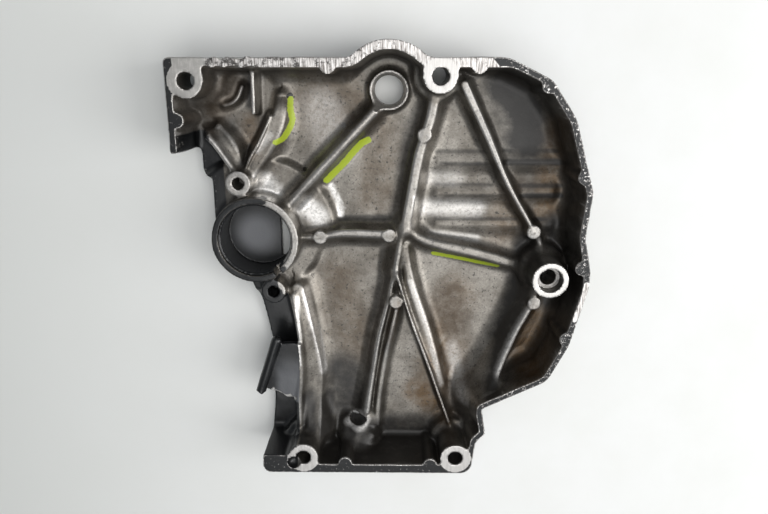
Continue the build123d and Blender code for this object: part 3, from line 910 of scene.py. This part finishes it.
def top_heights(block):
    """Height of the metal seen from above at each plan point: where the field last changes sign."""
    inside = block.field < 0
    last = block.size[2] - 1 - np.argmax(inside[:, :, ::-1], axis=2)
    any_metal = inside.any(2)
    heights = block.z[np.clip(last, 0, block.size[2] - 1)]
    return np.where(any_metal, heights, 0.0)


def stroke(points, strokes):
    """Masks painted in the plane: each stroke is a path, a width and a strength, full up to a quarter
    of the width from the path and faded to nothing at five quarters. Where strokes cross, the
    stronger one counts."""
    total = np.zeros(len(points))
    for path, width, strength in strokes:
        gap = path_distance(smooth_path(path), points[:, 0], points[:, 1])[0]
        total = np.maximum(total, strength * rise(1.25 - gap / width))
    return total


def pen_gap(points):
    """Distance in the plane to the nearest marker line's edge, below zero on the line."""
    gaps = [path_distance(smooth_path(path), points[:, 0], points[:, 1])[0] - width / 2
            for path, width in PEN_LINES]
    return np.minimum.reduce(gaps)


def add_masks(mesh, block, points):
    """Numbers at each point that say where paint, black dirt, oil, worn metal and bare faces lie, and
    where shade, highlights and a reflection are painted. Each is a product of smooth steps in place or
    height, or a set of strokes. hollow and wide say how far the metal lies below the mean height
    round it, over a small and a large width."""
    x, y, z = points.T
    heights = top_heights(block)
    upward = np.clip(1.6 * slopes(block, points)[:, 2], 0, 1)
    skin = sampled(block.body, block, points)
    ring_gap = np.hypot(x - RING[0], y - RING[1])
    turned = np.arctan2(y - RING[1], RING[0] - x)
    break_edge = np.interp(x, BREAK_X, BREAK_Y - 0.3)
    torn = rise(1.4 - np.abs(y - break_edge) / 0.8) * (z > 12.5) * (x > -60) * (x < -40.5)

    # Black paint: outside, left part of the housing with two bare lines on its top, bore, low left
    # side, corner of the wing, and ear, where the black also serves as painted shade under the wing
    outside = rise((skin + 0.5) / 0.35) * (z < RIM - 0.05)
    housing = rise((23.5 - ring_gap) / 2) * rise((radians(62) - np.abs(turned + 0.35)) / 0.2) * (z > 4.6)
    ring_face = (ring_gap < 19) * rise((radians(132) - np.abs(turned + 0.25)) / 0.3) * (z > RING_TOP - 2)
    ring_lines = np.maximum.reduce([rise(1.3 - np.abs(ring_gap - r) / 0.3) for r in (18.1, 15.7)])
    housing = np.maximum(housing, ring_face) * (1 - 0.6 * ring_lines * (z > RING_TOP - 0.9))
    bore = rise((BORE_R + 0.8 - ring_gap) / 0.3) * (x < RING[0] + WINDOW_X + 3) * (z < RING_TOP - 1)
    low_left = rise(np.interp(y, PAINT_EDGE_Y, PAINT_EDGE_X) - x) * (y < -5) * (1 - torn)
    wing = rise((60 - y) / 5) * rise((-71 - x) / 3) * (y > 46)
    ear = rise((-67.5 - x) / 3) * rise((50 - y) / 3) * (y > 20) * rise((13 - z) / 2)

    # Painted reflection on the paint of the guard, of the hood and of the bore's far side: a grey that stands
    # in for the light these glossy faces mirror
    plate = rise((x + 51) / 4) * rise((z - 13) / 1.5) * rise((-39 - y) / 14) * (y > -65) * (x < -38.5)
    gleam = rise((radians(75) - np.abs(turned - 0.1)) / 0.5) * (ring_gap < BORE_R + 1) * rise((z - 5) / 3)
    gleam = gleam * rise((17.5 - z) / 2)
    hood = rise((13 - np.hypot(x - RING[0] + 2, y - RING[1] + 1)) / 9) * (z < HOOD + 1)

    # Black paint on the milled face: right, lower and left sides and the wing, but not the bolt
    # faces or the worn place at the right
    right_side = rise((x + 0.9 * (y - 78) - 47) / 3) * (y > 60) + (y <= 60) * rise((x - 30) / 2)
    lower_side = rise((-60 - y) / 4)
    wing_side = rise((WING_BOLT[1] + 1 - y) / 2) * rise((-60 - x) / 2) * (y > 40)
    left_side = rise((-80.9 - x + 0.12 * (TOP_EDGE - y)) / 0.6) * (y > 40)
    bare = np.maximum.reduce([
        rise((r + 0.7 - np.hypot(x - bolt[0], y - bolt[1])) / 0.4)
        for bolt, r in [(bolt, BOSS_R) for bolt in BOLTS] + [(DOWEL_BOLT, DOWEL_BOSS_R)]
    ])
    worn = stroke(points, [([(83.6, -3.4), (82.4, -11.0), (79.8, -18.9)], 1.5, 1.0)])
    rim_paint = np.maximum.reduce([right_side, lower_side, left_side, wing_side]) * (1 - bare) * (1 - worn)

    deep = sampled(blurred(heights, 2.2 / block.step), block, points) - z
    deep = np.where(deep < 0, deep * upward, deep)
    # Painted shade on the inside of the right wall, which faces away from the window lamp
    right_wall_shade = 0.85 * rise((x - 69) / 6) * rise((z - 7.5) / 5) * (y < 66)
    masks = {
        "paint": np.maximum.reduce([outside, housing, bore, low_left, wing, ear]),
        # hollow and wide: the shader darkens by them, as black dirt and as painted shade in hollows and low
        # places
        "hollow": deep * (1 - np.maximum(low_left, ring_face)),
        "wide": sampled(blurred(heights, 6 / block.step), block, points) - z,
        "pits": np.maximum.reduce([rise(1.3 - np.hypot(x - px, y - py) / r) for (px, py), r in PITS]),
        "oil": stroke(points, OIL),
        "soot_and_shade": np.maximum(stroke(points, SOOT_AND_SHADE), right_wall_shade),
        # bright: worn metal and painted highlights, from the worn-metal and highlight strokes
        "bright": stroke(points, RUBBED_AND_HIGHLIGHTS) * rise(20 - z),
        "pen": pen_gap(points),
        "rim_edge": rise(1 + sampled(block.rim_gap, block, points) / 0.9),
        "rim_paint": rim_paint,
        "painted_reflection": np.maximum.reduce([0.7 * plate, hood, 0.9 * gleam]),
        "faced": np.maximum(bare, rise((LEFT + 17 - x) / 1.5) * (y > 60)),
    }
    for name, values in masks.items():
        data = mesh.attributes.new(name, "FLOAT", "POINT").data
        data.foreach_set("value", np.ascontiguousarray(values, np.float32))


def add_node(tree, kind, inputs=None, output=0, **settings):
    """Adds a shader node, sets its properties, links or sets its inputs, and returns one output. A Mix
    node's sockets go by number: 0 is its factor, 2 and 3 its numbers, 6 and 7 its colours, and
    output 2 its colour."""
    node = tree.nodes.new("ShaderNode" + kind)
    for name, value in settings.items():
        setattr(node, name, value)
    for key, value in (inputs or {}).items():
        socket = node.inputs[key]
        if isinstance(value, bpy.types.NodeSocket):
            tree.links.new(value, socket)
        else:
            socket.default_value = value
    return node.outputs[output] if len(node.outputs) else node


def new_material(name):
    """An empty node material, its tree and its object coordinates."""
    material = bpy.data.materials.new(name)
    material.use_nodes = True
    material.node_tree.nodes.clear()
    return material, material.node_tree, add_node(material.node_tree, "TexCoord", output="Object")


def cast_aluminium(settings):
    """Die-cast aluminium after years of chain oil. The die leaves a satin grey skin with a fine
    grain; worn ribs shine, with painted highlights on ribs and steps, oil has dried to brown
    varnish, black dirt and painted shade darken the corners, low places and pockets turned from
    the lamps, the outside has black paint that is chipped at its edges, with a grey painted
    reflection on the guard, hood and bore, and a paint pen left yellow-green lines."""
    material, tree, place = new_material("die_cast_aluminium")
    mask = {
        name: add_node(tree, "Attribute", output="Fac", attribute_name=name)
        for name in ("paint", "painted_reflection", "oil", "soot_and_shade", "bright", "pits", "pen", "hollow", "wide")
    }
    # Noise fields by the width of their features in millimetres
    grain, specks, chips, patches, clouds = (
        add_node(tree, "TexNoise", {"Vector": place, "Scale": 1 / (size * MM), "Detail": detail,
                                    "Roughness": rough}, "Fac")
        for size, detail, rough in ((0.9, 4, 0.6), (1.5, 3, 0.6), (1.3, 4, 0.7), (5, 5, 0.7), (15, 4, 0.65))
    )
    # Masks with ragged edges: a noise field times a number, plus the mask
    ragged = {
        name: add_node(tree, "Math", {0: field, 1: share, 2: mask[name]}, operation="MULTIPLY_ADD")
        for name, field, share in (("hollow", patches, 1.4), ("wide", patches, 1.4), ("pits", patches, 1.0),
                                   ("soot_and_shade", patches, 0.9), ("pen", grain, 0.9))
    }
    # Ramps: what each one reads, from which value to which, and what it gives at these two
    ramp = {
        name: add_node(tree, "MapRange", {"Value": value, "From Min": start, "From Max": end,
                                          "To Min": first, "To Max": last})
        for name, value, start, end, first, last in (
            ("pale", clouds, 0.36, 0.64, 0.0, 1.0),
            ("grain", grain, 0.35, 0.75, 0.0, 0.5),
            ("varnish", patches, 0.3, 0.6, 0.3, 0.9),
            # corners and low darken hollows and low places: black dirt there, and painted shade
            ("corners", ragged["hollow"], 1.6, 4.6, 0.0, 0.66),
            ("low", ragged["wide"], 2.8, 10.0, 0.0, 0.42),
            ("specks", specks, 0.59, 0.67, 0.0, 0.7),
            ("pits", ragged["pits"], 1.0, 1.2, 0.0, 1.0),
            ("soot_and_shade", ragged["soot_and_shade"], 0.5, 1.4, 0.0, 0.94),
            ("crests", mask["hollow"], -0.9, -2.4, 0.0, 0.4),
            ("wear_and_highlight", chips, 0.34, 0.56, 0.45, 1.0),
            ("pen", ragged["pen"], 0.62, 0.42, 0.0, 0.92),
            ("proud", mask["hollow"], -1.0, -2.6, 0.0, 1.0),
            ("chipped", chips, 0.58, 0.63, 0.0, 1.0),
            ("paint", mask["paint"], 0.4, 0.6, 0.0, 1.0),
            ("rough", clouds, 0.3, 0.7, 0.36, 0.46),
        )
    }
    # Varnish where oil dried; black dirt and painted shade where any of their five kinds is; worn metal and
    # painted highlights on crests and bright places; paint less its chips, which lie on proud edges
    varnish = add_node(tree, "Math", {0: ramp["varnish"], 1: mask["oil"]}, operation="MULTIPLY")
    grime_and_shade = ramp["corners"]
    for kind in ("low", "specks", "pits", "soot_and_shade"):
        grime_and_shade = add_node(tree, "Math", {0: grime_and_shade, 1: ramp[kind]}, operation="MAXIMUM")
    wear_and_highlight = add_node(tree, "Math", {0: ramp["crests"], 1: mask["bright"]}, operation="MAXIMUM")
    wear_and_highlight = add_node(tree, "Math", {0: wear_and_highlight, 1: ramp["wear_and_highlight"]}, operation="MULTIPLY")
    chipped = add_node(tree, "Math", {0: ramp["chipped"], 1: ramp["proud"]}, operation="MULTIPLY")
    coat = add_node(tree, "Math", {0: ramp["paint"], 1: chipped}, operation="SUBTRACT", use_clamp=True)

    # Colours in layers from the metal up, each over the last by its share
    dark, pale = linear(settings.dark_metal_hex), linear(settings.pale_metal_hex)
    # The black paint turns to a grey painted reflection on the guard, the hood and the bore's far side
    black, reflection_grey = linear(settings.paint_hex), linear("6A6B6E")
    paint = add_node(tree, "Mix", {0: mask["painted_reflection"], 6: black, 7: reflection_grey}, 2, data_type="RGBA")
    colour = dark
    for share, tone in (
        (ramp["pale"], pale),
        (ramp["grain"], linear("4F4A43")),
        (varnish, linear(settings.varnish_hex)),
        (grime_and_shade, linear(settings.grime_and_shade_hex)),
        (wear_and_highlight, linear("E6E3DF")),
        (ramp["pen"], linear(settings.pen_hex)),
        (coat, paint),
    ):
        colour = add_node(tree, "Mix", {0: share, 6: colour, 7: tone}, 2, data_type="RGBA")

    metallic, roughness = 0.9, ramp["rough"]
    for share, metal_there, rough_there in (
        (grime_and_shade, 0.2, 0.42), (wear_and_highlight, 0.95, 0.30), (ramp["pen"], 0.0, 0.45), (coat, 0.0, 0.32)
    ):
        metallic = add_node(tree, "Mix", {0: share, 2: metallic, 3: metal_there}, data_type="FLOAT")
        roughness = add_node(tree, "Mix", {0: share, 2: roughness, 3: rough_there}, data_type="FLOAT")
    height = add_node(tree, "Math", {0: grain, 1: 0.6, 2: patches}, operation="MULTIPLY_ADD")
    bump = add_node(tree, "Bump", {"Height": height, "Strength": 0.35, "Distance": 0.25 * MM})
    shader = add_node(tree, "BsdfPrincipled", {
        "Base Color": colour, "Metallic": metallic, "Roughness": roughness, "Normal": bump,
        "Coat Weight": 0.12, "Coat Roughness": 0.2,
    })
    add_node(tree, "OutputMaterial", {"Surface": shader})
    return material


def milled_aluminium(settings):
    """Milled aluminium: the rim and boss faces as the cutter left them, bright, with cutter lines
    across the top edge and dark blotches; the right and lower sides have black paint, worn to thin
    bright lines along the edges and chipped through."""
    material, tree, place = new_material("milled_aluminium")
    rim_paint, rim_edge, faced = (
        add_node(tree, "Attribute", output="Fac", attribute_name=name)
        for name in ("rim_paint", "rim_edge", "faced")
    )
    # Cutter lines drawn out along Y, blotches and wear, by the width of their features in millimetres
    along = add_node(tree, "Mapping", {"Vector": place, "Scale": (1, 0.09, 1)})
    lines, blotch, wear = (
        add_node(tree, "TexNoise", {"Vector": vector, "Scale": 1 / (size * MM), "Detail": detail,
                                    "Roughness": rough}, "Fac")
        for vector, size, detail, rough in ((along, 0.7, 3, 0.7), (place, 2.2, 4, 0.7), (place, 1.4, 5, 0.75))
    )

    # Bright metal with lines and, more of them at the left, dark blotches; the bolt faces are plain
    across = add_node(tree, "SeparateXYZ", {0: place}, "X")
    share = add_node(tree, "MapRange", {"Value": lines, "From Min": 0.38, "From Max": 0.6})
    metal = add_node(tree, "Mix", {0: share, 6: linear("7C7672"), 7: linear("EAE6E2")}, 2, data_type="RGBA")
    fewer = add_node(tree, "MapRange", {"Value": across, "From Min": -0.07, "From Max": 0.02,
                                        "To Min": 0.04, "To Max": -0.1})
    spread = add_node(tree, "Math", {0: blotch, 1: fewer}, operation="ADD")
    share = add_node(tree, "MapRange", {"Value": spread, "From Min": 0.48, "From Max": 0.6, "To Max": 0.88})
    metal = add_node(tree, "Mix", {0: share, 6: metal, 7: linear("33302E")}, 2, data_type="RGBA")
    dull = add_node(tree, "MapRange", {"Value": across, "From Min": -0.064, "From Max": -0.069})
    plain = add_node(tree, "Mix", {0: dull, 6: linear("CDCAC6"), 7: linear("BCB9B4")}, 2, data_type="RGBA")
    share = add_node(tree, "Math", {0: faced, 1: 0.85}, operation="MULTIPLY")
    metal = add_node(tree, "Mix", {0: share, 6: metal, 7: plain}, 2, data_type="RGBA")

    # Black paint less its chips and the thin bright lines along its edges; towards the right there
    # are more chips and fainter lines
    more = add_node(tree, "MapRange", {"Value": across, "From Min": 0.03, "From Max": 0.06, "To Max": 0.06})
    chips = add_node(tree, "Math", {0: wear, 1: more}, operation="ADD")
    chips = add_node(tree, "MapRange", {"Value": chips, "From Min": 0.62, "From Max": 0.65})
    thin = add_node(tree, "Math", {0: wear, 1: 0.9, 2: rim_edge}, operation="MULTIPLY_ADD")
    thin = add_node(tree, "MapRange", {"Value": thin, "From Min": 0.9, "From Max": 1.02})
    kept = add_node(tree, "MapRange", {"Value": across, "From Min": 0.05, "From Max": 0.07, "To Min": 1.0,
                                       "To Max": 0.3})
    thin = add_node(tree, "Math", {0: thin, 1: kept}, operation="MULTIPLY")
    gone = add_node(tree, "Math", {0: chips, 1: thin}, operation="MAXIMUM")
    coat = add_node(tree, "MapRange", {"Value": rim_paint, "From Min": 0.4, "From Max": 0.6})
    coat = add_node(tree, "Math", {0: coat, 1: gone}, operation="SUBTRACT", use_clamp=True)
    black = linear(settings.rim_paint_hex)
    colour = add_node(tree, "Mix", {0: coat, 6: metal, 7: black}, 2, data_type="RGBA")
    metallic = add_node(tree, "Mix", {0: coat, 2: 0.9, 3: 0.0}, data_type="FLOAT")
    roughness = add_node(tree, "Mix", {0: coat, 2: 0.38, 3: 0.4}, data_type="FLOAT")
    bump = add_node(tree, "Bump", {"Height": lines, "Strength": 0.25, "Distance": 0.1 * MM})
    shader = add_node(tree, "BsdfPrincipled", {
        "Base Color": colour, "Metallic": metallic, "Roughness": roughness, "Normal": bump,
    })
    add_node(tree, "OutputMaterial", {"Surface": shader})
    return material


def painted_board(settings):
    """Painted board: the white bench top, matt, with faint scuffs, and painted shade that greys it towards
    the left.
    """
    material, tree, place = new_material("painted_board")
    scuffs = add_node(tree, "TexNoise", {"Vector": place, "Scale": 1 / (60 * MM), "Detail": 5,
                                         "Roughness": 0.6}, "Fac")
    share = add_node(tree, "MapRange", {"Value": scuffs, "From Min": 0.3, "From Max": 0.7})
    pale = linear(settings.floor_hex)
    colour = add_node(tree, "Mix", {0: share, 6: pale, 7: linear("ECECE8")}, 2, data_type="RGBA")
    # Painted shade: the board greys towards the left, where less light falls
    across = add_node(tree, "SeparateXYZ", {0: place}, "X")
    share = add_node(tree, "MapRange", {"Value": across, "From Min": 0.0, "From Max": -0.2})
    colour = add_node(tree, "Mix", {0: share, 6: colour, 7: linear("D6D7D3")}, 2, data_type="RGBA")
    shader = add_node(tree, "BsdfPrincipled", {"Base Color": colour, "Roughness": 0.6})
    add_node(tree, "OutputMaterial", {"Surface": shader})
    return material


def build_casting(settings):
    """The whole casting as one closed mesh with its normals, masks and two finishes."""
    block = Block(settings.cell * (1))
    shell_and_hollow(block)
    ridges(block)
    bosses(block)
    block.field = np.maximum(block.field, block.body)
    broken_guard(block)
    cuts(block)
    points, quads = surface(block)
    triangles = triangles_of(points, quads)
    piece = made_mesh("cast_cover", points, triangles)
    ring_gap = np.hypot(points[:, 0] - RING[0], points[:, 1] - RING[1])
    ring_top = (np.abs(points[:, 2] - RING_TOP) < 0.6) & (ring_gap < 19)
    hood = (points[:, 2] > 1) & (points[:, 2] < HOOD + 0.5) & (ring_gap < BORE_R)
    keep = (points[:, 2] > FACE_Z) | (np.abs(pen_gap(points)) < 1.0) | ring_top | hood
    mesh = thinned(piece, min(1.0, settings.triangles / len(triangles)), keep)
    points, faces = points_and_faces(mesh)
    points = points.astype(float) / MM
    add_masks(mesh, block, points)
    mesh.polygons.foreach_set("use_smooth", np.ones(len(faces), bool))
    mesh.normals_split_custom_set(corner_normals(block, points, faces).reshape(-1, 3).tolist())
    mesh.materials.append(cast_aluminium(settings))
    mesh.materials.append(milled_aluminium(settings))
    on_rim = (points[faces][:, :, 2] > FACE_Z).all(1)
    mesh.polygons.foreach_set("material_index", on_rim.astype(np.int32))
    print("casting:", len(faces), "triangles from", len(triangles))
    return piece


class CoverSettings(bpy.types.PropertyGroup):
    """Sizes and colours of the cover that a user would change."""

    cell: FloatProperty(
        name="Cell", description="Cell of the block that the casting is cut from, in millimetres",
        default=0.6, min=0.3, max=2.0,
    )
    triangles: IntProperty(
        name="Triangles", description="Most triangles in the casting's mesh", default=190000, min=1000,
    )
    dark_metal_hex: StringProperty(
        name="Dark metal", description="Darker tone of the bare casting, as sRGB hex", default="66615A",
    )
    pale_metal_hex: StringProperty(
        name="Pale metal", description="Paler tone of the bare casting, as sRGB hex", default="9C978F",
    )
    varnish_hex: StringProperty(
        name="Varnish", description="Colour of the dried oil, as sRGB hex", default="5E4A33",
    )
    # One colour for black dirt and for the painted shade in hollows, low places and dark pockets
    grime_and_shade_hex: StringProperty(
        name="Grime", description="Colour of the black grime, as sRGB hex", default="1C1916",
    )
    paint_hex: StringProperty(
        name="Paint", description="Colour of the outside paint, as sRGB hex", default="0D0E0F",
    )
    rim_paint_hex: StringProperty(
        name="Rim paint", description="Colour of the paint on the rim face, as sRGB hex", default="0E0F10",
    )
    pen_hex: StringProperty(
        name="Paint pen", description="Colour of the marker lines, as sRGB hex", default="A2B41E",
    )
    floor_hex: StringProperty(
        name="Floor", description="Colour of the floor, as sRGB hex", default="F2F2F0",
    )


class COVER_OT_casting(bpy.types.Operator):
    """Build the casting with its fillets, masks and finishes"""

    bl_idname = "sprocket_cover.casting"
    bl_label = "Casting"

    def execute(self, context):
        piece = build_casting(context.scene.cover_settings)
        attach(piece, "root")
        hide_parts(COVER)
        return {"FINISHED"}


def photo_camera():
    """Camera whose view of straight down falls on the plumb pixel, with the world's X level."""
    down = unit((PLUMB_PIXEL[0] - IMAGE_SIZE[0] / 2, PLUMB_PIXEL[1] - IMAGE_SIZE[1] / 2, FOCAL_PIXELS))
    across = unit(np.array((1.0, 0, 0)) - down[0] * down)
    up_page = np.cross(-down, across)
    turn = Matrix(np.stack([across, up_page, -down]) @ np.diag((1.0, -1.0, -1.0)))
    data = bpy.data.cameras.new("camera")
    data.sensor_width = SENSOR_MM
    data.lens = FOCAL_PIXELS / IMAGE_SIZE[0] * SENSOR_MM
    camera = bpy.data.objects.new("camera", data)
    camera.matrix_world = Matrix.Translation(CAMERA_PLACE) @ turn.to_4x4()
    bpy.context.scene.collection.objects.link(camera)
    bpy.context.scene.camera = camera


def softbox(name, place, size, power):
    """A rectangular soft lamp at a place in metres, turned to the middle of the cover."""
    data = bpy.data.lights.new(name, "AREA")
    data.shape = "RECTANGLE"
    data.size, data.size_y = size
    data.energy = power
    lamp = bpy.data.objects.new(name, data)
    lamp.location = place
    lamp.rotation_euler = (-Vector(place)).to_track_quat("-Z", "Y").to_euler()
    bpy.context.scene.collection.objects.link(lamp)


class COVER_OT_stage(bpy.types.Operator):
    """Build the floor, the lamps, the world and the camera of the photograph"""

    bl_idname = "sprocket_cover.stage"
    bl_label = "Stage"

    def execute(self, context):
        settings = context.scene.cover_settings
        corners = FLOOR_REACH * np.array([(-1, -1, 0), (1, -1, 0), (1, 1, 0), (-1, 1, 0)])
        floor = made_mesh("floor", corners, np.array([[0, 1, 2, 3]]))
        floor.data.materials.append(painted_board(settings))
        for lamp in LAMPS:
            softbox(*lamp)
        world = bpy.data.worlds.new("room")
        world.use_nodes = True
        background = world.node_tree.nodes["Background"]
        background.inputs["Color"].default_value = ROOM_COLOUR
        background.inputs["Strength"].default_value = ROOM_STRENGTH
        context.scene.world = world
        context.scene.view_settings.view_transform = "Standard"
        photo_camera()
        return {"FINISHED"}


class COVER_PT_panel(bpy.types.Panel):
    """Lists the steps and settings in the sidebar"""

    bl_label = "Sprocket cover"
    bl_idname = "COVER_PT_panel"
    bl_space_type = "VIEW_3D"
    bl_region_type = "UI"
    bl_category = "Sprocket cover"

    def draw(self, context):
        for name in CoverSettings.__annotations__:
            self.layout.prop(context.scene.cover_settings, name)
        for step in STEPS:
            self.layout.operator(step.bl_idname)


STEPS = (COVER_OT_casting, COVER_OT_stage)
CLASSES = (CoverSettings, *STEPS, COVER_PT_panel)


def register():
    for each in CLASSES:
        bpy.utils.register_class(each)
    bpy.types.Scene.cover_settings = bpy.props.PointerProperty(type=CoverSettings)


def unregister():
    del bpy.types.Scene.cover_settings
    for each in reversed(CLASSES):
        bpy.utils.unregister_class(each)


def main():
    register()
    bpy.ops.sprocket_cover.casting()
    bpy.ops.sprocket_cover.stage()


if __name__ == "__main__":
    main()
